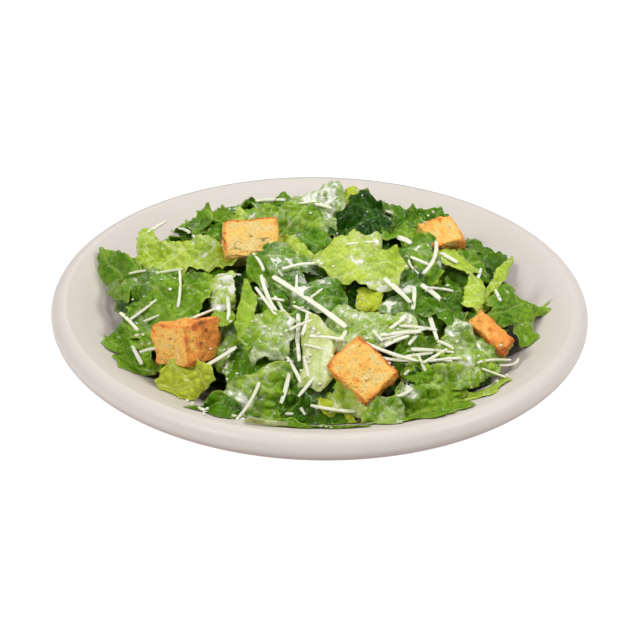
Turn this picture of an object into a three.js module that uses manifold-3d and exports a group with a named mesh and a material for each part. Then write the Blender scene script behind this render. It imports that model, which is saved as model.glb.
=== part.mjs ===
// A caesar salad heaped in its wide, shallow plate: torn romaine, five croutons and shredded hard cheese.
// Millimetres, +Z up. The origin is the centre of the foot ring, on the surface that the plate stands on.
// The side that is served first faces -Y.

import * as THREE from 'three';
import { mergeVertices } from 'three/addons/utils/BufferGeometryUtils.js';
import Module from 'manifold-3d';

const wasm = await Module();
wasm.setup();

const PLATE_RADIUS = 120;
const PLATE_HEIGHT = 38;
const RIM_ROLL = 5.4;              // radius of the rolled edge
const FLOOR_Z = 10;                // eating surface in the middle
const FLOOR_RADIUS = 46;           // flat as far as here
const COVE_RADIUS = 60;            // curve from the floor to the flank
const FLANK_SLOPE = 29 * Math.PI / 180;
const WALL = 5.2;
const FOOT_RADIUS = 63;
const FOOT_WIDTH = 5;
const FOOT_HEIGHT = 4.5;
const FOOT_BEVEL = [1.5, 1];       // outer edge of the foot ring: across and up
const FOOT_FLARE = 2;              // inner side of the foot ring leans out by this much
const UNDERSIDE_RADII = [109, 92, 76];
const ROLL_END = -1.45;            // the rolled edge ends under the rim at this angle, in radians
const PLATE_SEGMENTS = 52;
const COVE_STEPS = 3;
const ROLL_STEPS = 6;

const HEAP = { x: 106, y: 90, centreY: 1, edgeZ: 21, rise: 40, power: 0.65 };
const CORE_REACH = 0.93;           // core outline as a share of the heap's
const CORE_SINK = 3;               // bare core below the heap's surface
const CORE_SPOKES = 28;
const CORE_RINGS = 6;
const LEAF_THICKNESS = 1.2;
const LEAF_CELL = 13;              // size of a leaf's faces
const GAP = 0.4;                   // between the salad, the plate and the croutons
const EDGE_TOLERANCE = 0.05;       // shortest edge that fusing leaves
const SHRED_WIDTH = 2.3;
const SHRED_THICKNESS = 1.3;
const SHRED_STEP = 9;
const SHRED_DROP = 4.5;            // most that a shred bends down over one step
const SHRED_CLEARANCE = 0.2;
const STEEPEST_LEVEL = 0.9;        // the heap's slope is taken no further out than this level
const CORE_EDGE = 1;               // thickness of the core at its outline

// Leaves that show: [name, x, y, lift above the heap, length, width, turn, tilt, lean, taper, bulge, frill]
const LEAVES = [
  ['left_tip', -90, 9, 3, 40, 17, -30, 0, 28, -0.4, 2, 1],
  ['left_curl', -91, -5, 1, 22, 12, -35, 10, 25, 0, 2, 1],
  ['left_light', -61, 5, 3, 44, 30, -10, 0, 12, -0.2, 3, 2],
  ['rear_left', -51, 31, 3, 32, 26, -8, 0, 20, 0, 2, 2],
  ['cover', -21, -22, 5, 24, 27, -55, -5, 5, 0, 4, 1.5],
  ['cover_edge', -12, -10, 2, 28, 9, -60, 0, 25, 0, 2, 1],
  ['left_big', -66, -31, 1, 40, 37, -5, 5, 0, -0.2, 4, 2.5],
  ['left_rib', -42, -34, 4, 13, 20, -10, 5, 20, 0, 3, 1],
  ['left_low', -84, -40, 1, 24, 22, -80, 0, 5, 0, 3, 2],
  ['left_low2', -77, -53, 0, 20, 22, -85, 0, 0, 0, 2, 2],
  ['front_chip', -56, -73, 6, 20, 23, -40, -10, 10, 0, 2, 1],
  ['front_dark', -46, -88, 0, 22, 24, -25, 0, 5, 0, 2, 2],
  ['front_big', -26, -83, 4, 28, 28, -5, 0, 5, 0, 3, 1.5],
  ['mid_left', -20, -62, 5, 22, 22, -5, 0, 5, 0, 3, 1],
  ['torn', -30, -53, 6, 7, 32, 0, 0, 0, 0, 1, 0.5],
  ['rib', 0, -70, 5, 13, 30, -10, 5, 5, 0, 2, 0],
  ['right_flat', 22, -57, 4, 42, 19, 5, 0, 0, -0.2, 3, 1],
  ['mid_dark', 0, -42, 4, 24, 18, -10, 0, 0, 0, 3, 1.5],
  ['frilly', 16, -23, 6, 32, 26, -20, 0, 5, 0, 3, 2.5],
  ['yellow', 20, -40, 2, 12, 14, 0, 0, 10, 0, 2, 1.5],
  ['top', -6, 21, 5, 34, 33, 16, 0, 28, 0.1, 3, 2],
  ['top_tip', 16, 39, 11, 12, 14, 5, 0, 40, 0, 1, 1],
  ['top_dark', 23, 21, 4, 33, 32, -15, 0, 24, 0, 3, 2],
  ['rear_right', 48, 30, 3, 36, 30, 8, 0, 22, 0, 2, 2],
  ['curly_a', 44, -11, 3, 22, 32, 0, 0, 5, 0, 3, 3],
  ['curly_b', 47, -33, 2, 30, 24, -5, 0, 0, 0, 3, 3],
  ['strip', 60, -8, 5, 20, 11, -15, -5, 5, 0, 1, 1],
  ['right_frill', 68, -2, 2, 17, 23, -30, -5, 0, 0, 2, 3],
  ['spike', 79, -10, 5, 36, 8, 72, 15, 15, 0, 1, 1],
  ['fold_right', 67, -24, 4, 10, 21, -10, 0, 5, 0, 2, 1],
  ['right_tip', 89, -15, 1, 30, 32, 5, -5, 5, 0.2, 2, 2],
  ['right_big', 61, -59, 3, 28, 27, -15, 0, 5, -0.3, 4, 1.5],
  ['right_low', 50, -78, 1, 30, 20, 5, 0, 0, 0, 3, 2],
  ['right_edge', 68, -69, 0, 24, 15, 28, -10, 12, 0, 2, 2],
  ['front_right', 26, -93, 3, 18, 26, 5, -5, 5, 0.2, 3, 1.5],
  ['front_low', 45, -88, 0, 38, 16, 14, 0, 5, 0, 2, 2],
  ['ruffle', 9, -86, 1, 20, 8, -50, -10, 15, 0, 2, 1.5],
  ['front_thin', 1, -98, -1, 44, 20, -3, 0, 12, 0, 1, 1],
  ['front_sliver', -20, -101, 1, 20, 5, 22, 0, 20, 0, 1, 0.5],
  ['centre', -17, -38, 1, 22, 26, -10, 0, 5, 0, 3, 1.5],
  ['right_mid', 39, -43, 3, 28, 15, -5, 0, 5, 0, 3, 1.5],
];

// Leaves of the sides and the back, laid by rule: [count, first angle, last angle, share of the heap, lift, size]
const LEAF_RINGS = [
  [3, 40, 140, 0.45, 1, 38],
  [6, 30, 152, 0.66, 1, 36],
  [8, 42, 152, 0.88, 0, 34],
  [5, 222, 325, 0.82, -2, 28],
];

// Croutons: [name, centre, size, turn, tilt, lean]
const CROUTONS = [
  ['crouton_1', [-55, -56.5, 44], [20, 20, 17], -38, -13, -16],
  ['crouton_2', [-30.5, -5, 63.5], [24, 18, 12], 5, -3, 34],
  ['crouton_3', [53.5, 10, 59], [17, 15, 13], 20, -9, 23],
  ['crouton_4', [72.5, -42.5, 41], [20.5, 9, 9.5], -42, 21, 22],
  ['crouton_5', [17.5, -74, 41], [23, 19.5, 12.5], -36, 26, 29],
];
const CRUMB_ROUGHNESS = 0.5;
const CORNER_WEAR = 0.18;          // how far the corners of a crouton are rubbed off
const WEAR_START = 1.2;            // from this share of the half side outwards

// Shreds that show: [x, y of one end, x, y of the other]
const SHREDS = [
  [-20, -35, 11, -61],
  [-16, -31, 1, -28],
  [-25, -34, -18, -54],
  [-61, -20, -60, -42],
  [-70, -32, -82, -37],
  [-86, -31, -77, -45],
  [-39, -41, -38, -53],
  [-34, -64, -49, -69],
  [-24, -81, -32, -95],
  [51, 2, 44, -26],
  [27, -34, 38, -45],
  [40, -33, 39, -46],
  [25, -62, 42, -57],
  [38, -64, 56, -60],
  [-9, -52, -9, -65],
  [-13, -71, -7, -80],
  [66, -62, 81, -53],
  [-31, 51, -17, 43],
  [19, 47, 33, 36],
  [60, 36, 72, 22],
];

const COLOURS = { plate: 0xe9e4da, salad: 0x5f9a24, crouton: 0xdb9a4c };

function degrees(value) {
  return value * Math.PI / 180;
}

// Seeded draws between 0 and 1
let seed = 20261;

function draw() {
  seed = seed * 16807 % 2147483647;
  return seed / 2147483647;
}

// Height of the eating surface at a distance from the plate's axis
function plateTop(radius) {
  const coveEnd = FLOOR_RADIUS + COVE_RADIUS * Math.sin(FLANK_SLOPE);
  if (radius < FLOOR_RADIUS) return FLOOR_Z;
  if (radius < coveEnd) return FLOOR_Z + COVE_RADIUS - Math.sqrt(COVE_RADIUS ** 2 - (radius - FLOOR_RADIUS) ** 2);
  const coveRise = COVE_RADIUS * (1 - Math.cos(FLANK_SLOPE));
  return FLOOR_Z + coveRise + (radius - coveEnd) * Math.tan(FLANK_SLOPE);
}

// Outline of half the plate: eating surface, rolled edge, underside, foot ring
function plateProfile() {
  const points = [[0, FLOOR_Z]];
  for (let step = 0; step <= COVE_STEPS; step++) {
    const radius = FLOOR_RADIUS + COVE_RADIUS * Math.sin(FLANK_SLOPE * step / COVE_STEPS);
    points.push([radius, plateTop(radius)]);
  }
  const rollR = PLATE_RADIUS - RIM_ROLL;
  const rollZ = PLATE_HEIGHT - RIM_ROLL;
  const rollStart = Math.PI / 2 + FLANK_SLOPE;
  for (let step = 0; step <= ROLL_STEPS; step++) {
    const angle = rollStart + (ROLL_END - rollStart) * step / ROLL_STEPS;
    points.push([rollR + RIM_ROLL * Math.cos(angle), rollZ + RIM_ROLL * Math.sin(angle)]);
  }
  for (const radius of UNDERSIDE_RADII) {
    points.push([radius, plateTop(radius) - WALL / Math.cos(FLANK_SLOPE)]);
  }
  points.push([FOOT_RADIUS + FOOT_BEVEL[0], FOOT_BEVEL[1]]);
  points.push([FOOT_RADIUS, 0]);
  points.push([FOOT_RADIUS - FOOT_WIDTH, 0]);
  points.push([FOOT_RADIUS - FOOT_WIDTH - FOOT_FLARE, FOOT_HEIGHT]);
  points.push([0, FOOT_HEIGHT]);
  return points.map(([radius, z]) => new THREE.Vector2(radius, z));
}

function plateGeometry() {
  const geometry = new THREE.LatheGeometry(plateProfile().reverse(), PLATE_SEGMENTS);
  geometry.rotateX(Math.PI / 2);
  return geometry;
}

// The heap's even surface, which carries every leaf, and its slope
function heapLevel(x, y) {
  return (x / HEAP.x) ** 2 + ((y - HEAP.centreY) / HEAP.y) ** 2;
}

function heapTop(x, y) {
  return HEAP.edgeZ + HEAP.rise * Math.max(0, 1 - heapLevel(x, y)) ** HEAP.power;
}

function heapNormal(x, y) {
  const level = Math.min(heapLevel(x, y), STEEPEST_LEVEL);
  const fall = 2 * HEAP.rise * HEAP.power * (1 - level) ** (HEAP.power - 1);
  const normal = new THREE.Vector3(fall * x / HEAP.x ** 2, fall * (y - HEAP.centreY) / HEAP.y ** 2, 1);
  return normal.normalize();
}

// Axes of a piece that lies on the heap: turned about the heap's normal, then tilted and leaned out of it
function leafAxes(x, y, turn, tilt, lean) {
  const normal = heapNormal(x, y);
  const along = new THREE.Vector3(Math.cos(degrees(turn)), Math.sin(degrees(turn)), 0);
  along.addScaledVector(normal, -along.dot(normal)).normalize();
  const across = new THREE.Vector3().crossVectors(normal, along);
  along.applyAxisAngle(across, -degrees(tilt));
  normal.applyAxisAngle(across, -degrees(tilt));
  across.applyAxisAngle(along, degrees(lean));
  normal.applyAxisAngle(along, degrees(lean));
  return { along, across, normal };
}

// A leaf's point in its own plane, u and v from -1 to 1: outline, crown and wavy edges
function leafPoint(leaf, u, v) {
  const { length, width, taper, bulge, frill, phase } = leaf;
  const along = u * length / 2 * (1 - 0.14 * v * v) + 0.04 * width * Math.sin(2.6 * v + phase);
  const swing = 0.04 * width * Math.sin(3 * u + 1.7 * phase) * (0.4 + Math.abs(v));
  const across = v * width / 2 * (1 + taper * u) * (1 - 0.12 * u * u) + swing;
  const crown = bulge * (1 - u * u) * (1 - 0.5 * v * v) - 0.35 * bulge * v * v;
  const sideWave = v * v * Math.sin(0.16 * length * u + phase + 1.5 * Math.sign(v));
  const endWave = 0.5 * Math.abs(u) ** 3 * Math.sin(0.2 * width * v + 2 * phase);
  return [along, across, crown + frill * (sideWave + endWave)];
}

function makeLeaf(row) {
  const [name, x, y, lift, length, width, turn, tilt, lean, taper, bulge, frill] = row;
  const phase = 0.4 * x + 0.5 * y;
  const axes = leafAxes(x, y, turn, tilt, lean);
  const centre = new THREE.Vector3(x, y, heapTop(x, y) + lift);
  return { name, length, width, taper, bulge, frill, phase, axes, centre };
}

function ringLeaves() {
  const rows = [];
  for (const [count, first, last, share, lift, size] of LEAF_RINGS) {
    for (let place = 0; place < count; place++) {
      const angle = degrees(first + (last - first) * (place + 0.6 * (draw() - 0.5)) / (count - 1));
      const x = HEAP.x * share * Math.cos(angle);
      const y = HEAP.centreY + HEAP.y * share * Math.sin(angle);
      const length = size * (0.85 + 0.35 * draw());
      const width = size * (0.7 + 0.3 * draw());
      const turn = 360 * draw();
      const lean = 16 * (draw() - 0.3);
      rows.push(['ring', x, y, lift + 2 * draw(), length, width, turn, 0, lean, -0.3 * draw(), 3, 2]);
    }
  }
  return rows;
}

// Middle surface of a leaf as rows of points, kept above the plate
function leafGrid(leaf, offset) {
  const uSteps = Math.max(3, Math.round(leaf.length / LEAF_CELL));
  const vSteps = Math.max(2, Math.round(leaf.width / LEAF_CELL));
  const rows = [];
  for (let i = 0; i <= uSteps; i++) {
    const row = [];
    for (let j = 0; j <= vSteps; j++) {
      const [along, across, height] = leafPoint(leaf, 2 * i / uSteps - 1, 2 * j / vSteps - 1);
      const point = leaf.centre.clone();
      point.addScaledVector(leaf.axes.along, along);
      point.addScaledVector(leaf.axes.across, across);
      point.addScaledVector(leaf.axes.normal, height + offset);
      const rest = plateTop(Math.hypot(point.x, point.y)) + GAP + LEAF_THICKNESS / 2 + offset;
      point.z = Math.max(point.z, rest);
      row.push(point);
    }
    rows.push(row);
  }
  return rows;
}

// A closed solid between an upper and a lower sheet of points, both split into triangles alike
function sheetSolid(upper, lower) {
  const uCount = upper.length;
  const vCount = upper[0].length;
  const positions = [];
  for (const sheet of [upper, lower]) {
    for (const row of sheet) {
      for (const point of row) positions.push(point.x, point.y, point.z);
    }
  }
  const top = (i, j) => i * vCount + j;
  const bottom = (i, j) => uCount * vCount + i * vCount + j;
  const faces = [];
  for (let i = 0; i + 1 < uCount; i++) {
    for (let j = 0; j + 1 < vCount; j++) {
      faces.push(top(i, j), top(i + 1, j), top(i + 1, j + 1), top(i, j), top(i + 1, j + 1), top(i, j + 1));
      faces.push(bottom(i, j), bottom(i + 1, j + 1), bottom(i + 1, j));
      faces.push(bottom(i, j), bottom(i, j + 1), bottom(i + 1, j + 1));
    }
  }
  const rim = [];
  for (let i = 0; i + 1 < uCount; i++) rim.push([i, 0]);
  for (let j = 0; j + 1 < vCount; j++) rim.push([uCount - 1, j]);
  for (let i = uCount - 1; i > 0; i--) rim.push([i, vCount - 1]);
  for (let j = vCount - 1; j > 0; j--) rim.push([0, j]);
  for (let k = 0; k < rim.length; k++) {
    const here = rim[k];
    const next = rim[(k + 1) % rim.length];
    faces.push(top(...here), bottom(...here), top(...next), top(...next), bottom(...here), bottom(...next));
  }
  return { positions, faces };
}

function toSolid({ positions, faces }) {
  const mesh = new wasm.Mesh({
    numProp: 3,
    vertProperties: new Float32Array(positions),
    triVerts: new Uint32Array(faces),
  });
  return new wasm.Manifold(mesh);
}

function geometrySolid(geometry) {
  const bare = geometry.clone();
  bare.deleteAttribute('normal');
  bare.deleteAttribute('uv');
  const merged = mergeVertices(bare, 1e-4);
  return toSolid({ positions: merged.attributes.position.array, faces: merged.index.array });
}

function toGeometry(solid) {
  const mesh = solid.getMesh();
  const geometry = new THREE.BufferGeometry();
  geometry.setAttribute('position', new THREE.BufferAttribute(new Float32Array(mesh.vertProperties), 3));
  geometry.setIndex(new THREE.BufferAttribute(new Uint32Array(mesh.triVerts), 1));
  geometry.computeVertexNormals();
  return geometry;
}

// Highest leaf surface above a place, or -Infinity where no leaf lies
function leafHeight(sheets, x, y) {
  let highest = -Infinity;
  for (const rows of sheets) {
    for (let i = 0; i + 1 < rows.length; i++) {
      for (let j = 0; j + 1 < rows[i].length; j++) {
        const corners = [rows[i][j], rows[i + 1][j], rows[i + 1][j + 1], rows[i][j + 1]];
        for (const [a, b, c] of [[0, 1, 2], [0, 2, 3]]) {
          const height = triangleHeight(corners[a], corners[b], corners[c], x, y);
          highest = Math.max(highest, height);
        }
      }
    }
  }
  return highest;
}

function triangleHeight(a, b, c, x, y) {
  const area = (b.x - a.x) * (c.y - a.y) - (c.x - a.x) * (b.y - a.y);
  if (Math.abs(area) < 1e-6) return -Infinity;
  const s = ((b.x - x) * (c.y - y) - (c.x - x) * (b.y - y)) / area;
  const t = ((c.x - x) * (a.y - y) - (a.x - x) * (c.y - y)) / area;
  if (s < 0 || t < 0 || s + t > 1) return -Infinity;
  return s * a.z + t * b.z + (1 - s - t) * c.z;
}

// The core that carries the leaves, lying in the plate
function coreSolid() {
  const upper = [];
  const lower = [];
  for (let ring = 1; ring <= CORE_RINGS; ring++) {
    for (let spoke = 0; spoke < CORE_SPOKES; spoke++) {
      const angle = 2 * Math.PI * spoke / CORE_SPOKES;
      const reach = CORE_REACH * ring / CORE_RINGS;
      const x = HEAP.x * reach * Math.cos(angle);
      const y = HEAP.centreY + HEAP.y * reach * Math.sin(angle);
      upper.push([x, y, coreTop(x, y)]);
      lower.push([x, y, plateTop(Math.hypot(x, y)) + GAP]);
    }
  }
  const positions = [...upper.flat(), ...lower.flat()];
  const upperCentre = positions.length / 3;
  positions.push(0, HEAP.centreY, coreTop(0, HEAP.centreY));
  positions.push(0, HEAP.centreY, FLOOR_Z + GAP);
  const faces = [];
  const below = CORE_RINGS * CORE_SPOKES;
  for (let spoke = 0; spoke < CORE_SPOKES; spoke++) {
    const next = (spoke + 1) % CORE_SPOKES;
    faces.push(upperCentre, spoke, next);
    faces.push(upperCentre + 1, below + next, below + spoke);
    for (let ring = 0; ring + 1 < CORE_RINGS; ring++) {
      const inner = ring * CORE_SPOKES;
      const outer = inner + CORE_SPOKES;
      faces.push(inner + spoke, outer + spoke, outer + next, inner + spoke, outer + next, inner + next);
      faces.push(below + inner + spoke, below + outer + next, below + outer + spoke);
      faces.push(below + inner + spoke, below + inner + next, below + outer + next);
    }
    const edge = (CORE_RINGS - 1) * CORE_SPOKES;
    faces.push(edge + spoke, below + edge + spoke, below + edge + next);
    faces.push(edge + spoke, below + edge + next, edge + next);
  }
  return toSolid({ positions, faces });
}

function coreTop(x, y) {
  return Math.max(heapTop(x, y) - CORE_SINK, plateTop(Math.hypot(x, y)) + GAP + CORE_EDGE);
}

// A cheese shred draped over the leaves, as a strip with four sides
function shredSolid(sheets, [startX, startY, endX, endY]) {
  const length = Math.hypot(endX - startX, endY - startY);
  const steps = Math.max(2, Math.round(length / SHRED_STEP));
  const side = new THREE.Vector3(startY - endY, endX - startX, 0).normalize();
  const upper = [];
  const lower = [];
  let level = 0;
  for (let step = 0; step <= steps; step++) {
    const x = startX + (endX - startX) * step / steps;
    const y = startY + (endY - startY) * step / steps;
    const ground = Math.max(leafHeight(sheets, x, y), coreTop(x, y));
    level = step === 0 ? ground : Math.max(ground, level - SHRED_DROP);
    const middle = new THREE.Vector3(x, y, level + LEAF_THICKNESS / 2 + SHRED_CLEARANCE);
    upper.push([-1, 1].map((edge) => shredEdge(middle, side, edge, SHRED_THICKNESS / 2)));
    lower.push([-1, 1].map((edge) => shredEdge(middle, side, edge, -SHRED_THICKNESS / 2)));
  }
  return toSolid(sheetSolid(upper, lower));
}

function shredEdge(middle, side, edge, rise) {
  const point = middle.clone().addScaledVector(side, edge * SHRED_WIDTH / 2);
  point.z += rise;
  return point;
}

// A crouton: a cut cube of bread with worn corners and uneven faces, grown by a clearance where asked
function croutonGeometry([, centre, size, turn, tilt, lean], clearance) {
  const geometry = new THREE.BoxGeometry(2, 2, 2, 4, 4, 4);
  geometry.deleteAttribute('normal');
  geometry.deleteAttribute('uv');
  const crouton = mergeVertices(geometry, 1e-4);
  const place = crouton.attributes.position;
  for (let k = 0; k < place.count; k++) {
    const point = new THREE.Vector3().fromBufferAttribute(place, k);
    const spread = point.length();
    const wear = 1 - CORNER_WEAR * Math.max(0, spread - WEAR_START) ** 2;
    const bump = CRUMB_ROUGHNESS * Math.sin(5.1 * point.x + 3.7 * point.y * point.z + centre[0]);
    const scale = wear + bump / size[0];
    point.set(point.x * size[0] / 2, point.y * size[1] / 2, point.z * size[2] / 2).multiplyScalar(scale);
    point.addScaledVector(point.clone().normalize(), clearance);
    place.setXYZ(k, point.x, point.y, point.z);
  }
  crouton.applyQuaternion(new THREE.Quaternion().setFromEuler(
    new THREE.Euler(degrees(lean), degrees(tilt), degrees(turn), 'ZYX')));
  crouton.translate(...centre);
  crouton.computeVertexNormals();
  return crouton;
}

// The salad without its croutons: core, leaves and shreds fused, cut clear of the croutons
function saladGeometry() {
  const leaves = [...LEAVES, ...ringLeaves()].map(makeLeaf);
  const sheets = leaves.map((leaf) => leafGrid(leaf, 0));
  let salad = coreSolid();
  for (const leaf of leaves) {
    const upper = leafGrid(leaf, LEAF_THICKNESS / 2);
    const lower = leafGrid(leaf, -LEAF_THICKNESS / 2);
    salad = salad.add(toSolid(sheetSolid(upper, lower)));
  }
  const croutonSpaces = CROUTONS.map((row) => geometrySolid(croutonGeometry(row, GAP)));
  for (const row of SHREDS) {
    const shred = shredSolid(sheets, row);
    const clear = croutonSpaces.every((space) => shred.intersect(space).isEmpty());
    if (clear) salad = salad.add(shred);
  }
  for (const space of croutonSpaces) salad = salad.subtract(space);
  return toGeometry(largestPiece(salad.simplify(EDGE_TOLERANCE)));
}

function largestPiece(solid) {
  const pieces = solid.decompose().sort((a, b) => b.volume() - a.volume());
  return pieces[0];
}

function finish(colour, roughness) {
  return new THREE.MeshStandardMaterial({ color: colour, roughness, metalness: 0 });
}

function namedMesh(name, geometry, material) {
  const mesh = new THREE.Mesh(geometry, material);
  mesh.name = name;
  return mesh;
}

const group = new THREE.Group();
group.add(namedMesh('plate', plateGeometry(), finish(COLOURS.plate, 0.25)));
group.add(namedMesh('salad', saladGeometry(), finish(COLOURS.salad, 0.4)));
for (const row of CROUTONS) {
  group.add(namedMesh(row[0], croutonGeometry(row, 0), finish(COLOURS.crouton, 0.85)));
}

export default group;
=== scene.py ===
# A caesar salad heaped in a wide, shallow, rolled-edge plate: torn romaine with creamy dressing,
# five croutons and shredded hard cheese. Measures are in millimetres until a mesh is made.
import math
from itertools import product

import bmesh
import bpy
import numpy as np
from mathutils import Matrix, Vector
from mathutils.bvhtree import BVHTree


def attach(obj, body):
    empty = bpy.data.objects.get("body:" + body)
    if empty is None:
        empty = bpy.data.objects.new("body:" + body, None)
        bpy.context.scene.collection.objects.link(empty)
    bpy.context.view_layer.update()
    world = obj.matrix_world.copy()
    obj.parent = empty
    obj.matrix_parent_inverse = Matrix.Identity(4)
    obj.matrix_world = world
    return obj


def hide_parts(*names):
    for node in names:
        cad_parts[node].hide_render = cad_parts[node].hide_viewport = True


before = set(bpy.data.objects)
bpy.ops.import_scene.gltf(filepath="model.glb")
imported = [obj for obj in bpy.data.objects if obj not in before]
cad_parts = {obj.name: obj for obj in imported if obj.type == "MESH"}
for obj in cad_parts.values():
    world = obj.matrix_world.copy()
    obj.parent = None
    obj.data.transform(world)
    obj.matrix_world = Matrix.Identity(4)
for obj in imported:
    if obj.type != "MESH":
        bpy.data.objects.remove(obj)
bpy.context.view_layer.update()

MM = 0.001

# Plate, as in the CAD model but with finer steps
PLATE_RADIUS = 120
PLATE_HEIGHT = 38
RIM_ROLL = 5.4
FLOOR_Z = 10
FLOOR_RADIUS = 46
COVE_RADIUS = 60
FLANK_SLOPE = math.radians(29)
WALL = 5.2
FOOT_RADIUS = 63
FOOT_WIDTH = 5
FOOT_HEIGHT = 4.5
PLATE_SEGMENTS = 256
COVE_END = FLOOR_RADIUS + COVE_RADIUS * math.sin(FLANK_SLOPE)
COVE_RISE = COVE_RADIUS * (1 - math.cos(FLANK_SLOPE))
ROLL_R = PLATE_RADIUS - RIM_ROLL
ROLL_Z = PLATE_HEIGHT - RIM_ROLL
ROLL_START = math.pi / 2 + FLANK_SLOPE
ROLL_END = -1.45

# Glaze, with painted shade and a painted reflection of a dark table under the roll, and a thin line of
# painted shade on the shoulder of the rim at the back
EDGE_SHADE_START = 0.18
EDGE_SHADE_SLOPE = 1.7
EDGE_SHADE_WIDTH = 0.22
EDGE_SHADE_STRENGTH = 0.8
GLAZE_COLOUR = "#d8cfc7"
UNDERSIDE_SHADE_COLOUR = "#86665a"
UNDERSIDE_SHADE_FROM = 0.35
UNDERSIDE_SHADE_TO = -1.05
EDGE_SHADE_COLOUR = "#54463e"

# Heap, as in the CAD model
HEAP_X = 106
HEAP_Y = 90
HEAP_CENTRE_Y = 1
HEAP_EDGE_Z = 21
HEAP_RISE = 40
HEAP_POWER = 0.65
STEEPEST_LEVEL = 0.9
GAP = 0.4

# Core of the heap, smaller than the CAD model's, coloured dark as painted shade between the leaves
CORE_REACH = 0.84
CORE_SINK = 6
CORE_SHOULDER = 0.84
CORE_SPOKES = 160
CORE_RINGS = 60
CORE_SHADE_COLOUR = "#123808"

# Where the core is pulled in: angle in degrees, depth as a share of the heap's reach, spread in degrees
CORE_HOLLOWS = [(24, 0.2, 28), (154, 0.18, 24), (-126, 0.22, 15)]

# Leaves
LEAF_CELL = 0.6
RING_CELL = 1.0
UNDER_CELL = 1.4
LEAF_THICKNESS = 0.5
EDGE_THICKNESS = 0.15
RIB_THICKNESS = 2.6
VEIN_SPACING = 9.0
VEIN_WIDTH = 0.5
PUFF_SIZE = 4.6
PUFF_JITTER = 0.42
PUFF_HEIGHT = 1.4
FOLD_HEIGHT = 2.6
CROWN = 0.65
SMALL_LEAF = 26
CORNER_SHIFT = 0.3
DRAWN_CORNER_SHARE = 0.3

# Tones of romaine: dark side, light side, veins
TONES = {
    "deep": ("#0c2a00", "#265400", "#4e7c10"),
    "dark": ("#305a00", "#5f9008", "#86a634"),
    "mid": ("#4c7a04", "#84ac22", "#a6c050"),
    "bright": ("#66900c", "#a0be3a", "#bed068"),
    "light": ("#8fb01a", "#c6d85a", "#dae58c"),
    "chip": ("#98a81a", "#c2d042", "#d4dc74"),
    "yellow": ("#9aac0c", "#c4d03a", "#dae078"),
    "pale": ("#b8c66e", "#dce3ac", "#e8ebcc"),
}
DRESSING_COLOUR = "#dfe4cb"
SAUCE_COLOUR = "#e4e6d6"

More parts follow.
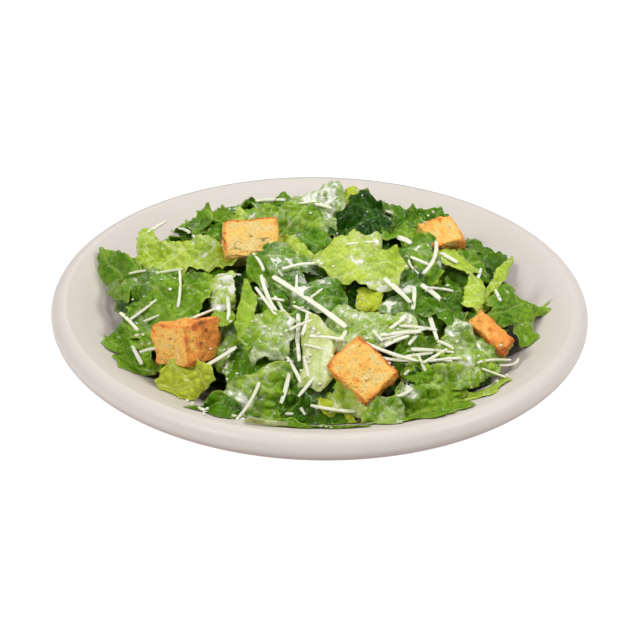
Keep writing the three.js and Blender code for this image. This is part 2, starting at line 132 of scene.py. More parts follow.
# Leaves that show: name, tone, x, y, lift, length, width, turn, tilt, lean, taper, bulge, frill, dressing
LEAVES = [
    ("left_tip", "mid", -90, 7, 3, 40, 17, -30, 0, 28, -0.4, 2, 1, 0.1),
    ("left_curl", "mid", -91, -5, 1, 22, 12, -35, 10, 25, 0, 2, 1, 0.2),
    ("left_light", "light", -61, 3.5, 3, 44, 25, -10, 0, 12, -0.2, 3, 2, 0.3),
    ("rear_left", "mid", -51, 31, 3, 32, 26, -8, 0, 20, 0, 2, 2, 0.1),
    ("rear_pale", "light", -36, 32, 5, 9, 12, 0, 0, 30, -0.5, 1, 1, 0.2),
    ("cover", "mid", -21, -22, 5, 24, 27, -55, -5, 5, 0, 4, 1.5, 0.5),
    ("cover_edge", "light", -12, -10, 2, 28, 9, -60, 0, 25, 0, 2, 1, 0.1),
    ("left_big", "mid", -66, -31, 1, 40, 37, -5, 5, 0, -0.2, 5, 2.5, 0.3),
    ("left_rib", "light", -42, -34, 4, 13, 20, -10, 5, 20, 0, 3, 1, 0.7),
    ("left_low", "mid", -84, -40, 1, 24, 22, -80, 0, 5, 0, 3, 2, 0.3),
    ("left_low2", "mid", -77, -53, 0, 20, 22, -85, 0, 0, 0, 2, 2, 0.2),
    ("front_chip", "chip", -56, -73, 6, 20, 22, -40, -10, 10, 0, 0.5, 0.4, 0.2),
    ("front_dark", "dark", -42, -90, 3, 21, 28, -12, 0, 5, 0, 2, 2, 0.2),
    ("front_big", "bright", -26, -83, 4, 28, 28, -5, 0, 5, 0, 3, 1.5, 0.6),
    ("mid_left", "bright", -20, -62, 5, 22, 22, -5, 0, 5, 0, 3, 1, 0.9),
    ("torn", "bright", -30, -53, 6, 7, 32, 0, 0, 0, 0, 1, 0.5, 0),
    ("barb", "bright", -41, -51, 5, 13, 8, -5, 0, 0, 0, 1, 0.5, 0),
    ("rib", "pale", 0, -70, 5, 13, 30, -10, 5, 5, 0, 2, 0, 0.3),
    ("right_flat", "bright", 22, -57, 4, 42, 19, 5, 0, 0, -0.2, 3, 1, 0.7),
    ("mid_dark", "dark", 0, -42, 4, 24, 18, -10, 0, 0, 0, 3, 1.5, 0.5),
    ("frilly", "light", 16, -23, 6, 32, 26, -20, 0, 5, 0, 3, 2.5, 0.45),
    ("yellow", "yellow", 20, -40, 2, 12, 14, 0, 0, 10, 0, 2, 1.5, 0.2),
    ("top", "bright", -6, 19.5, 5, 34, 33, 16, 0, 28, 0.1, 3, 2, 0.75),
    ("top_fold", "dark", -3, -3, 2, 20, 20, 0, 0, 15, 0, 3, 1, 0.3),
    ("top_tip", "yellow", 16, 39, 11, 12, 14, 5, 0, 40, 0, 1, 1, 0),
    ("top_dark", "deep", 23, 21, 4, 33, 32, -15, 0, 24, 0, 3, 2, 0),
    ("rear_right", "dark", 48, 30, 3, 36, 30, 8, 0, 22, 0, 2, 2, 0.1),
    ("curly_a", "mid", 44, -11, 3, 22, 32, 0, 0, 5, 0, 3, 3, 0.3),
    ("curly_b", "dark", 47, -33, 2, 30, 24, -5, 0, 0, 0, 3, 3, 0.35),
    ("strip", "light", 60, -8, 5, 20, 11, -15, -5, 5, 0, 1, 1, 0.2),
    ("right_frill", "mid", 68, -2, 2, 17, 23, -30, -5, 0, 0, 2, 3, 0.2),
    ("spike", "light", 79, -10, 5, 36, 8, 72, 15, 15, 0, 1, 1, 0.1),
    ("fold_right", "light", 67, -24, 4, 10, 21, -10, 0, 5, 0, 2, 1, 0.1),
    ("right_tip", "mid", 89, -15, 1, 30, 32, 5, -5, 5, 0.2, 2, 2, 0.05),
    ("right_big", "bright", 61, -59, 3, 28, 27, -15, 0, 5, -0.3, 4, 1.5, 0.65),
    ("right_low", "bright", 47, -76, 3, 30, 27, -5, 0, 0, 0, 3, 2, 0.45),
    # a leaf in a deep tone in a gap, as painted shade
    ("right_gap", "deep", 65, -61, 0, 14, 13, 0, 0, 0, 0, 2, 1, 0),
    ("right_fill", "mid", 40, -66, 1, 24, 22, -20, 0, 5, 0, 3, 2, 0.3),
    ("right_edge", "light", 70, -71, 1, 24, 18, 28, -10, 12, 0, 2, 2, 0.1),
    ("front_right", "bright", 27, -92, 4, 18, 28, 5, -5, 5, 0.2, 3, 1.5, 0.6),
    ("front_low", "mid", 46, -91, 1.5, 38, 20, 14, 0, -4, 0, 2, 2, 0.2),
    ("ruffle", "yellow", 9, -86, 1, 20, 8, -50, -10, 15, 0, 2, 1.5, 0),
    # a leaf in a dark tone in a gap, as painted shade
    ("front_gap", "dark", 4, -86, 0, 20, 14, 10, 0, 5, 0, 2, 1.5, 0),
    ("gap_fill", "dark", -9, -84, 1, 26, 22, 8, 0, 5, 0, 2, 2, 0.3),
    ("front_thin", "mid", 1, -101, -1, 44, 20, -3, 0, 12, 0, 1, 1, 0),
    ("front_sliver", "pale", -20, -104, 1, 20, 5, 22, 0, 20, 0, 1, 0.5, 0.2),
    ("centre", "dark", -17, -38, 1, 22, 26, -10, 0, 5, 0, 3, 1.5, 0.5),
    # a leaf in a deep tone in a gap, as painted shade
    ("centre_gap", "deep", 17, -39, 0, 14, 20, -5, 0, 5, 0, 2, 1, 0),
    ("right_mid", "dark", 39, -43, 3, 28, 15, -5, 0, 5, 0, 3, 1.5, 0.4),
    ("centre_low", "dark", -9, -66, 0, 14, 36, -5, 0, 5, 0, 1, 1, 0.3),
    ("beside_crouton", "mid", -37, -60, -4, 36, 17, -72, 0, 0, 0, 3, 2, 0.4),
    # a leaf in a deep tone under a crouton, as painted shade
    ("under_crouton", "deep", 13, -80, 0, 22, 13, 0, 0, 10, 0, 2, 1, 0),
]

# Corner shifts, along and across the leaf, of the front left, front right, rear right and rear left corner
CORNERS = {
    "left_tip": ((5, 6), (1, -5), (-3, -3), (-9, 6)),
    "left_curl": ((2, 3), (7, -3), (4, -5), (-3, 1)),
    "left_light": ((0, 5), (7, -9), (-1, -7), (-4, 4)),
    "rear_left": ((7, 0), (-3, -6), (-5, -5), (7, 2)),
    "rear_pale": ((-2, 1), (0, -7), (-2, -1), (2, -5)),
    "left_big": ((3, 3), (-1, -4), (3, -1), (-7, 6)),
    "front_chip": ((-4, 6), (-6, 0), (3, -1), (3, 4)),
    "frilly": ((-3, 0), (3, -1), (0, 2), (0, 2)),
    "top": ((3, -1), (-8, -1), (5, 1), (-1, -6)),
    "top_tip": ((-2, -3), (-6, -1), (-4, -2), (0, -3)),
    "top_dark": ((-1, -2), (-2, 1), (-12, -1), (1, 0)),
    "rear_right": ((-2, -3), (-11, 3), (-2, 3), (-1, -11)),
    "right_frill": ((-2, 5), (1, 3), (2, -8), (-1, -3)),
    "spike": ((-5, 2), (-1, 2), (1, -2), (-7, 1)),
    "right_tip": ((-10, -9), (-13, -2), (6, -6), (1, -7)),
}

# Torn tips: place on the leaf along and across, from -1 to 1, how far it is drawn along and across, width
TIPS = {
    "left_tip": ((-0.95, 0.9, -2, 2, 5),),
    "left_light": ((-0.85, 1, 0, 7, 4), (-0.3, 1, 0, -4, 8), (0.4, 1, 0, -3, 8)),
    "rear_left": ((-0.4, 1, 0, 4, 5), (0.45, 1, 0, 4, 5), (0.05, 1, 0, -3, 4)),
    "frilly": ((0.1, 1, 1, 10, 4), (1, 0.3, 4, 0, 5), (1, -0.6, 3, -1, 4)),
    "right_tip": ((1, 0.75, 3, -2, 7), (1, 0.1, -6, 0, 7), (0.9, -0.8, 4, -4, 6), (0.2, -1, 0, 5, 6)),
    "top": ((-0.9, 0.9, -4, 4, 6), (0.1, 1, 0, -3, 9)),
    "left_big": ((-1, 0.2, -3, 0, 5), (-0.8, -0.9, -3, -2, 5)),
    "front_right": ((0, -1, 0, -4, 6), (0.7, -1, 2, -3, 4)),
    "curly_b": ((0.6, -1, 1, -4, 5), (-0.3, -1, 0, -3, 5)),
}

# Leaves of the sides and the back: count, first angle, last angle, share of the heap, lift, size
LEAF_RINGS = [
    (3, 40, 140, 0.45, 1, 38),
    (6, 45, 138, 0.64, 1, 34),
    (8, 56, 130, 0.85, 0, 32),
    (5, 222, 325, 0.82, -2, 28),
]
RING_TONES = ["mid", "dark", "bright", "mid", "dark", "light", "deep"]

# Leaves deep in the heap, seen through the gaps, mostly in dark tones as painted shade; none is both left of
# UNDER_LEFT and before UNDER_FRONT
UNDER_LEAVES = 70
UNDER_SIZE = 26
UNDER_REACH = 0.8
UNDER_LEFT = -30
UNDER_FRONT = -42
GOLDEN_ANGLE = 2.39996

# Croutons: name, centre, size, turn, tilt, lean, toasting of the faces -x +x -y +y -z +z
CROUTONS = [
    ("crouton_1", (-55, -56.5, 44), (20, 20, 17), -38, -19, -12, (0.3, 0.8, 0.32, 0.5, 0.5, 0.65)),
    ("crouton_2", (-30.5, -5, 63.5), (24, 18, 12), 5, -3, 34, (0.35, 0.3, 0.05, 1.15, 0.3, -0.1)),
    ("crouton_3", (53.5, 10, 59), (17, 15, 13), 20, -9, 23, (0.5, 0.7, 0.55, 0.6, 0.5, 0.45)),
    ("crouton_4", (72.5, -42.5, 41), (20.5, 9, 9.5), -42, 21, 22, (0.7, 0.9, 1.1, 0.8, 0.7, 0.75)),
    ("crouton_5", (17.5, -74, 41), (23, 19.5, 12.5), -36, 26, 29, (0.6, 0.6, 0.55, 1.1, 0.5, 0.18)),
]
CROUTON_CUTS = 40
CRUMB_ROUGHNESS = 0.5
CRUMB_PIT = 0.8
CRUMB_COLOUR = "#fdc964"
CRUMB_PALE = "#ead088"
TOAST_COLOUR = "#f89e44"
CRUST_COLOUR = "#d0702e"
HERB_COLOUR = "#544a18"

# Shreds: x and y of one end and of the other, width, and a bend as a share of the length where there is one
SHREDS = [
    (-29, -20, -24, -32, 1.6, 0.05), (-24, -31, -22, -37, 1.5), (-18, -27, -16, -31, 1.6),
    (-16, -31, 1, -28, 1.7, 0.12), (-10, -32, -10, -41, 1.6), (-20, -35, 11, -61, 3.2, 0.02),
    (11, -61, 7, -66, 2.4, 0.1), (-25, -34, -18, -54, 2.2, -0.04), (-19, -42, -14, -54, 1.8, 0.03),
    (-27, -41, -18, -56, 1.8), (1, -41, -4, -46, 1.6), (-39, -41, -38, -53, 2.2, 0.03),
    (0, 36, 0, 27, 1.5), (-10, 22, -3, 24, 1.4), (-3, 23, 5, 17, 2.2, 0.05),
    (51, 2, 44, -26, 2.4, 0.07), (43, -30, 51, -36, 3.2, 0.05), (46, -32, 57, -30, 1.6, 0.08),
    (38, -18, 42, -26, 1.3, -0.1), (40, -33, 39, -46, 2.4, 0.02), (71, -5, 69, -14, 2),
    (-70, -32, -82, -37, 2.2, 0.03), (-68, -40, -75, -40, 1.4), (-86, -31, -77, -45, 2.2, 0.02),
    (-85, -4, -77, -8, 1.8, 0.06), (-72, -13, -60, -16, 1.6, 0.05), (-61, -20, -60, -42, 1.6, 0.03),
    (-34, -64, -49, -69, 2.4, 0.03), (-79, -50, -74, -59, 2.2), (-75, -57, -68, -59, 2, 0.1),
    (-24, -81, -32, -95, 2.2, 0.06), (-4, -66, 10, -67, 1.8, 0.04), (22, -60, 26, -64, 2),
    (25, -62, 42, -57, 2.2, 0.03), (19, -66, 40, -69, 2.4, -0.05), (46, -48, 49, -58, 2.4),
    (38, -64, 56, -60, 2.4, 0.04), (49, -58, 56, -59, 2, 0.1), (45, -67, 55, -64, 2, 0.05),
    (44, -66, 51, -64, 1.6), (41, -65, 44, -70, 1.8), (25, -70, 41, -68, 2, -0.04),
    (35, -73, 37, -71, 1.6), (38, -77, 32, -84, 3.2, 0.08), (66, -62, 81, -53, 1.6, 0.08),
    (85, -47, 76, -55, 1.4, 0.2), (68, -62, 78, -62, 2), (76, -21, 78, -27, 2),
    (27, -34, 38, -45, 3.4, 0.03), (-9, -52, -9, -65, 2.6, 0.02), (-5, -55, -7, -65, 2, 0.04),
    (-9, -62, -8, -72, 2.2), (-13, -71, -7, -80, 2.2, 0.03), (-6, -72, -4, -79, 1.8),
    (-12, -78, -15, -86, 2.4, 0.04), (-2, -80, -8, -85, 2), (-3, -87, 15, -87, 2.6, -0.04),
    (-13, -87, -10, -88, 1.8), (-7, -86, -5, -88, 1.8), (-58, 15, -55, 8, 1.8),
    (53, -6, 60, -10, 3), (26, -63, 45, -54, 2), (27, -66, 37, -60, 2, 0.05),
    (32, -68, 47, -62, 2.2, 0.03), (33, -56, 49, -54, 2, 0.04), (43, -68, 53, -60, 2),
    (29, -59, 36, -52, 1.8), (49, -66, 59, -62, 1.8, 0.05), (37, -62, 43, -54, 2, 0.04),
    (-16, -51, -11, -57, 1.8), (-12, -63, -3, -59, 1.6, 0.05), (-11, -49, -2, -54, 2, 0.03),
    (-6, -69, 3, -71, 1.8, 0.04), (-26, -45, -15, -47, 1.6, 0.06), (39, -13, 47, -16, 2.2),
    (34, 5, 40, 1, 3.2, 0.1), (11, -17, 23, -13, 1.5, 0.05), (-44, -26, -34, -28, 1.6, 0.05),
    (-54, -48, -44, -46, 1.4), (-31, 51, -17, 43, 2.4, 0.05), (19, 47, 33, 36, 2.2, 0.04),
    (-66, 34, -60, 20, 2.2, 0.06), (-7, 57, 11, 61, 2.2, 0.04), (-50, 54, -41, 63, 2, 0.03),
    (35, 58, 44, 48, 2.2, 0.06), (-80, 24, -72, 34, 2, 0.04), (3, 71, 15, 68, 1.8, 0.03),
    (-25, 67, -31, 57, 2.2, 0.02), (58, 50, 46, 56, 1.8, 0.05),
]
SHRED_THICKNESS = 0.75
SHRED_SECTION = [(1, 0.3), (0.75, 1), (-0.75, 1), (-1, 0.3), (-0.9, -1), (0.9, -1)]
SHRED_SLIMNESS = 0.76
SHRED_STEP = 1.5
SHRED_LIFT = 3.5
SHRED_BITE = 0.8
SHRED_CLEARANCE = 0.1
SHRED_LAST_LEVEL = 0.95
SHRED_COLOUR = "#f0efdb"
SHRED_SHADE = "#dedebc"

# Crumbs of cheese: x and y of a spot, its radius, their count
CRUMB_SPOTS = [
    (-32, -95, 3, 9), (-46, -93, 2, 5), (-53, -81, 3, 6), (-14, -55, 14, 16), (-8, -69, 9, 12),
    (29, -62, 14, 18), (47, -58, 12, 14), (45, -28, 12, 8), (-76, -50, 6, 8), (-36, -65, 8, 6),
    (3, 21, 14, 10), (-72, -26, 14, 8), (73, -57, 7, 8), (-1, 55, 30, 14), (58, 26, 18, 8),
    (-56, 40, 20, 8), (-1, -25, 60, 40), (-50, -93, 10, 3),
]
GRAIN_SIDES = 6
DROP_SHARE = 0.001
DROP_RADIUS = 0.5
DROP_STEEPEST = 0.3

# Camera of the photograph
CAMERA_DISTANCE = 700
CAMERA_ELEVATION = math.radians(30.77)
CAMERA_ROLL = math.radians(1.01)
CAMERA_LOOK = (0.2, -9.7, 27.4)
CAMERA_LENS = 87.85
SENSOR_WIDTH = 36

# Lights, in metres: name, place, size, power
LIGHTS = [
    ("left_window", (-0.48, -0.42, 0.72), 0.26, 4.1),
    ("right_window", (0.55, -0.1, 0.75), 0.26, 3.7),
    ("overhead", (0.05, 0.3, 0.85), 0.2, 1.5),
    ("rear_window", (-0.1, 0.85, 0.6), 0.3, 0.9),
]
LIGHT_TARGET = (0, 0, 0.03)
STUDIO_SIDE = 6


def linear(text):
    """A colour written as sRGB hex, as linear red, green and blue."""
    values = [int(text[k:k + 2], 16) / 255 for k in (1, 3, 5)]
    return np.array([v / 12.92 if v <= 0.04045 else ((v + 0.055) / 1.055) ** 2.4 for v in values])


class Draws:
    """Seeded draws between 0 and 1."""

    def __init__(self, seed):
        self.seed = seed

    def __call__(self):
        self.seed = self.seed * 16807 % 2147483647
        return self.seed / 2147483647


def smoothstep(low, high, value):
    t = np.clip((value - low) / (high - low), 0, 1)
    return t * t * (3 - 2 * t)


def mix(first, second, share):
    """Two colours, as arrays or as sRGB hex, mixed vertex by vertex."""
    first, second = (linear(k) if isinstance(k, str) else k for k in (first, second))
    share = np.asarray(share)[..., None]
    return first * (1 - share) + second * share


def lattice(x, y, z, seed):
    """A repeatable draw from -1 to 1 for each whole-number place."""
    value = x * 374761393 + y * 668265263 + z * 1274126177 + seed * 974634777
    value = (value ^ (value >> 13)) * 1103515245
    value = (value ^ (value >> 16)) & 0xFFFFFF
    return value / 0x7FFFFF - 1


def noise(x, y, z, size, seed):
    """Smooth noise from -1 to 1 with cells of the given size."""
    x, y, z = np.broadcast_arrays(x / size, y / size, z / size)
    cell = [np.floor(k).astype(np.int64) for k in (x, y, z)]
    part = [k - c for k, c in zip((x, y, z), cell)]
    blend = [k * k * (3 - 2 * k) for k in part]
    total = 0
    for corner in product((0, 1), repeat=3):
        weight = 1
        for share, side in zip(blend, corner):
            weight = weight * (share if side else 1 - share)
        total = total + weight * lattice(*(c + side for c, side in zip(cell, corner)), seed)
    return total


def fractal(x, y, z, size, seed):
    """Noise with finer noise on top."""
    return (noise(x, y, z, size, seed) + 0.5 * noise(x, y, z, size / 2, seed + 7)
            + 0.25 * noise(x, y, z, size / 4, seed + 13)) / 1.4


def cells(x, y, size, seed):
    """How far a place is inside an irregular cell, from 0 on its border towards 1 in its middle."""
    x, y = x / size, y / size
    column, row = np.floor(x).astype(np.int64), np.floor(y).astype(np.int64)
    nearest = np.full(x.shape, 9.0)
    second = np.full(x.shape, 9.0)
    for dx, dy in product((-1, 0, 1), repeat=2):
        i, j = column + dx, row + dy
        middle_x = i + 0.5 + PUFF_JITTER * lattice(i, j, 0, seed)
        middle_y = j + 0.5 + PUFF_JITTER * lattice(i, j, 1, seed)
        away = np.hypot(middle_x - x, middle_y - y)
        second = np.minimum(second, np.maximum(nearest, away))
        nearest = np.minimum(nearest, away)
    return np.clip((second - nearest) * 1.6, 0, 1)


def unit(vectors):
    """Vectors of length 1 in the same directions."""
    return vectors / np.maximum(np.linalg.norm(vectors, axis=-1, keepdims=True), 1e-9)


# Places on the plate and the heap


def plate_top(radius):
    radius = np.asarray(radius, dtype=float)
    inside = np.clip(radius - FLOOR_RADIUS, 0, COVE_END - FLOOR_RADIUS)
    cove = FLOOR_Z + COVE_RADIUS - np.sqrt(COVE_RADIUS ** 2 - inside ** 2)
    flank = FLOOR_Z + COVE_RISE + (radius - COVE_END) * math.tan(FLANK_SLOPE)
    return np.where(radius < COVE_END, cove, flank)


def heap_level(x, y):
    return (x / HEAP_X) ** 2 + ((y - HEAP_CENTRE_Y) / HEAP_Y) ** 2


def heap_top(x, y):
    return HEAP_EDGE_Z + HEAP_RISE * np.maximum(0, 1 - heap_level(x, y)) ** HEAP_POWER


def heap_place(share, angle):
    """x and y at a share of the heap's reach."""
    return HEAP_X * share * math.cos(angle), HEAP_CENTRE_Y + HEAP_Y * share * math.sin(angle)


def heap_axes(x, y, turn, tilt, lean):
    """Axes of a piece that lies on the heap, turned about its normal, then tilted and leaned."""
    level = min(heap_level(x, y), STEEPEST_LEVEL)
    fall = 2 * HEAP_RISE * HEAP_POWER * (1 - level) ** (HEAP_POWER - 1)
    normal = Vector((fall * x / HEAP_X ** 2, fall * (y - HEAP_CENTRE_Y) / HEAP_Y ** 2, 1)).normalized()
    along = Vector((math.cos(math.radians(turn)), math.sin(math.radians(turn)), 0))
    along = (along - normal * along.dot(normal)).normalized()
    across = normal.cross(along)
    tilting = Matrix.Rotation(-math.radians(tilt), 3, across)
    along, normal = tilting @ along, tilting @ normal
    leaning = Matrix.Rotation(math.radians(lean), 3, along)
    return np.array(along), np.array(leaning @ across), np.array(leaning @ normal)


# Meshes


def show(name, data):
    """An object with these data, in the scene."""
    thing = bpy.data.objects.new(name, data)
    bpy.context.scene.collection.objects.link(thing)
    return thing


def shaded_piece(name, data, colours):
    """An object with a smooth mesh and a colour at each of its vertices."""
    data.polygons.foreach_set("use_smooth", np.ones(len(data.polygons), dtype=bool))
    shade = data.color_attributes.new("shade", "FLOAT_COLOR", "POINT")
    shade.data.foreach_set("color", np.concatenate([colours, np.ones((len(colours), 1))], axis=1).ravel())
    return show(name, data)


def grid_quads(corner, columns):
    """Quads of a grid of points, each from its first corner."""
    return np.stack([corner, corner + columns, corner + columns + 1, corner + 1], axis=1)


def ring_quads(rings, spokes):
    """Quads between closed rings of points."""
    inner = np.arange((rings - 1) * spokes).reshape(-1, spokes)
    after = np.roll(inner, -1, axis=1)
    return np.stack([inner, inner + spokes, after + spokes, after], axis=2).reshape(-1, 4)


class Sheaf:
    """Points, faces, colours and wetness of many small things that become one mesh."""

    def __init__(self):
        self.parts = []
        self.count = 0

    def add(self, points, faces, colours, wet=0.0):
        """Add a thing; its colours and wetness may be one for all its points."""
        colours = np.broadcast_to(colours, points.shape)
        self.parts.append((points, faces + self.count, colours, np.broadcast_to(wet, len(points))))
        self.count += len(points)

    def mesh(self, name):
        points, faces, colours, wetness = (np.concatenate(k) for k in zip(*self.parts))
        data = bpy.data.meshes.new(name)
        data.vertices.add(len(points))
        data.vertices.foreach_set("co", (points * MM).ravel())
        data.loops.add(faces.size)
        data.loops.foreach_set("vertex_index", faces.ravel())
        data.polygons.add(len(faces))
        data.polygons.foreach_set("loop_start", np.arange(0, faces.size, faces.shape[1]))
        data.update(calc_edges=True)
        piece = shaded_piece(name, data, colours)
        data.attributes.new("wet", "FLOAT", "POINT").data.foreach_set("value", wetness)
        return piece


def sheet_faces(rows, columns):
    """Quads of an upper and a lower sheet of points and of the edge between them."""
    below = rows * columns
    place = np.arange(below).reshape(rows, columns)
    upper = grid_quads(place[:-1, :-1].ravel(), columns)
    lower = below + upper[:, ::-1]
    here = np.concatenate([place[:, 0], place[-1, 1:], place[-2::-1, -1], place[0, -2:0:-1]])
    after = np.roll(here, -1)
    edge = np.stack([here, here + below, after + below, after], axis=1)
    return np.concatenate([upper, lower, edge])


def sheet_normals(points):
    return unit(np.cross(np.gradient(points, axis=0), np.gradient(points, axis=1)))


def side_veins(along, across, rib, seed):
    """Distance to the nearest side vein, in millimetres; veins leave the rib at a slant."""
    wander = 2.2 * noise(along, across, 0, 11, seed)
    slant = 0.62 * along + 0.78 * np.abs(across - rib) + wander
    part = np.abs((slant / VEIN_SPACING) % 1 - 0.5)
    return (0.5 - part) * VEIN_SPACING


def leaf_sheet(row, index):
    """Middle surface of a leaf with its relief, and where its edge, its veins and its puffed cells are."""
    name, tone, x, y, lift, length, width, turn, tilt, lean, taper, bulge, frill = row[:-1]
    cell = {"ring": RING_CELL, "under": UNDER_CELL}.get(name, LEAF_CELL)
    rows = max(6, round(length / cell))
    columns = max(6, round(width / cell))
    u, v = np.meshgrid(np.linspace(-1, 1, rows), np.linspace(-1, 1, columns), indexing="ij")
    phase = 0.4 * x + 0.5 * y
    seed = 11 * index + 3

    # Outline, with its corners and tips drawn out
    flat_along = u * length / 2
    flat_across = v * width / 2
    along = flat_along * (1 - 0.14 * v * v) + 0.04 * width * np.sin(2.6 * v + phase)
    swing = 0.04 * width * np.sin(3 * u + 1.7 * phase) * (0.4 + np.abs(v))
    across = flat_across * (1 + taper * u) * (1 - 0.12 * u * u) + swing
    drawn = CORNERS.get(name, ())
    for (end, side), (move_along, move_across) in zip(((-1, -1), (1, -1), (1, 1), (-1, 1)), drawn):
        corner = (1 + end * u) * (1 + side * v) / 4
        along += corner * move_along
        across += corner * move_across
    for place_along, place_across, draw_along, draw_across, size in TIPS.get(name, ()):
        away = np.hypot((u - place_along) * length / 2, (v - place_across) * width / 2)
        tip = np.exp(-(away / size) ** 2)
        along += draw_along * tip
        across += draw_across * tip
    shift = CORNER_SHIFT * (DRAWN_CORNER_SHARE if drawn else 1)
    for k, (end, side) in enumerate(((-1, -1), (-1, 1), (1, -1), (1, 1))):
        corner = shift * ((1 + end * u) * (1 + side * v) / 4) ** 2
        along += corner * length / 2 * lattice(index, k, 7, 2)
        across += corner * width / 2 * lattice(index, k, 8, 2)

    # Bulge and waves
    crown = CROWN * bulge * ((1 - u * u) * (1 - 0.5 * v * v) - 0.35 * v * v)
    side_wave = v * v * np.sin(0.16 * length * u + phase + 1.5 * np.sign(v))
    end_wave = 0.5 * np.abs(u) ** 3 * np.sin(0.2 * width * v + 2 * phase)
    height = crown + frill * (side_wave + end_wave)

    # Torn and lobed outline
    lobe = 0.05 * min(length, width) + 0.8
    end_push = lobe * fractal(flat_across, u * 3, phase, 6, seed)
    end_push += 0.5 * noise(flat_across, u, phase, 1.7, seed)
    side_push = lobe * fractal(flat_along, v * 3, phase, 5, seed + 1)
    side_push += 0.5 * noise(flat_along, v, phase, 1.7, seed)
    along += np.sign(u) * np.abs(u) ** 5 * end_push
    across += np.sign(v) * np.abs(v) ** 5 * side_push

    # Relief of a rib, or of a blade with its veins, puffed cells, folds and ruffles
    edge = np.maximum(np.abs(u), np.abs(v))
    if tone == "pale":
        stretch = (0.2, 1) if length > width else (1, 0.2)
        grain = noise(along * stretch[0], across * stretch[1], 0, 1.3, seed)
        height += 0.25 * grain
        vein = smoothstep(0.1, 0.8, grain)
        puff = 0.5 + 0.5 * grain
    else:
        rib = 0.5 * lattice(index, 3, 5, 1) * width
        distance = side_veins(along, across, rib, seed)
        vein = np.exp(-(distance / VEIN_WIDTH) ** 2)
        warp = 1.6 * noise(along, across, 0, 5, seed + 9)
        net = cells(along + warp, across - warp, PUFF_SIZE, seed + 2)
        puff = np.minimum(net, 1 - np.exp(-(distance / 1.2) ** 2))
        vein = np.maximum(vein, 0.6 * (1 - smoothstep(0.0, 0.22, net)))
        small = min(1, min(length, width) / SMALL_LEAF)
        puffed = smoothstep(0, 1, puff) * (1 + 0.5 * noise(along, across, 0, 6, seed + 3))
        height += small * PUFF_HEIGHT * (puffed - 0.5)
        fold = 1 - 2 * np.abs(noise(along * 0.65, across, 0, 8, seed + 10))
        height += small * FOLD_HEIGHT * (0.5 + 0.25 * frill) * (fold - 0.4)
        height += 0.24 * noise(along, across, 0, 1.7, seed + 11)
        if frill > 1:
            ruffle = frill * 0.6 * smoothstep(0.55, 1, edge)
            height += ruffle * noise(along, across, 0, 4.6, seed + 4)

    axes = heap_axes(x, y, turn, tilt, lean)
    points = np.array([x, y, heap_top(x, y) + lift], dtype=float)
    points = points + along[..., None] * axes[0] + across[..., None] * axes[1] + height[..., None] * axes[2]
    return points, along, across, edge, vein, puff, seed


def add_leaf(sheaf, sauce, row, index):
    """A leaf of two sheets with a thin edge, its colours, and the dressing that lies thick on it."""
    tone, dressing = row[1], row[-1]
    points, along, across, edge, vein, puff, seed = leaf_sheet(row, index)
    middle = RIB_THICKNESS if tone == "pale" else LEAF_THICKNESS
    thickness = EDGE_THICKNESS + (middle - EDGE_THICKNESS) * smoothstep(1, 0.75, edge)
    normals = sheet_normals(points)
    sheets = []
    for side in (1, -1):
        sheet = points + side * normals * (thickness / 2)[..., None]
        rest = plate_top(np.hypot(sheet[..., 0], sheet[..., 1])) + GAP + (1 + side) / 2 * thickness
        sheet[..., 2] = np.maximum(sheet[..., 2], rest)
        sheets.append(sheet.reshape(-1, 3))

    dark, light, line = TONES[tone]
    patches = fractal(along, across, 0, 13, seed + 5)
    speckle = noise(along, across, 0, 1.6, seed + 12)
    # patches and speckles at random, with painted light on the puffed cells and painted shade in the creases
    # between them
    share = np.clip(0.4 + 0.6 * patches + 0.35 * (puff - 0.5) + 0.3 * speckle, 0, 1)
    colour = mix(dark, light, share)
    colour = mix(colour, line, 0.7 * vein)
    # painted glow: the thin edge lighter, as light shining through it
    colour = mix(colour, TONES["light"][1], 0.35 * smoothstep(0.93, 1, edge))
    spread = fractal(along, across, 0, 10, seed + 6)
    streak = 1 - puff + 0.8 * noise(along, across, 0, 1.4, seed + 8)
    wash = smoothstep(0.2, 1.2, spread + 1.2 * dressing - 0.4 + 0.45 * streak) * min(1, 1.7 * dressing)
    colour = mix(colour, DRESSING_COLOUR, 0.32 * wash)
    back = mix(mix(dark, light, np.clip(share + 0.25, 0, 1)), line, 0.3 + 0.3 * vein)
    colours = np.concatenate([colour.reshape(-1, 3), back.reshape(-1, 3)])
    wet = np.concatenate([wash.ravel(), 0.3 * wash.ravel()]) * (0 if tone == "deep" else 1)
    sheaf.add(np.concatenate(sheets), sheet_faces(*edge.shape), colours, wet)

    # Dressing that lies thick enough to hide the leaf
    pool = spread + 0.75 * dressing - 1.0 + 0.35 * streak - 2 * smoothstep(0.9, 1, edge)
    depth = 0.4 * smoothstep(-0.1, 0.35, pool) - 0.18
    wanted = depth > -0.15
    quads = wanted[:-1, :-1] | wanted[1:, :-1] | wanted[1:, 1:] | wanted[:-1, 1:]
    if dressing < 0.3 or not quads.any():
        return
    top = sheets[0].reshape(points.shape) + normals * depth[..., None]
    columns = edge.shape[1]
    i, j = np.nonzero(quads)
    used, faces = np.unique(grid_quads(i * columns + j, columns), return_inverse=True)
    sauce.add(top.reshape(-1, 3)[used], faces.reshape(-1, 4), linear(SAUCE_COLOUR), 1.0)


def ring_leaves():
    """Leaves of the sides and the back, with the draws of the CAD model."""
    draw = Draws(20261)
    rows = []
    for count, first, last, share, lift, size in LEAF_RINGS:
        for place in range(count):
            angle = math.radians(first + (last - first) * (place + 0.6 * (draw() - 0.5)) / (count - 1))
            x, y = heap_place(share, angle)
            length = size * (0.85 + 0.35 * draw())
            width = size * (0.7 + 0.3 * draw())
            turn = 360 * draw()
            lean = 16 * (draw() - 0.3)
            height = lift + 2 * draw()
            taper = -0.3 * draw()
            tone = RING_TONES[len(rows) % len(RING_TONES)]
            dressing = 0.2 + 0.1 * (len(rows) % 4)
            rows.append(("ring", tone, x, y, height, length, width, turn, 0, lean, taper, 3, 2, dressing))
    return rows


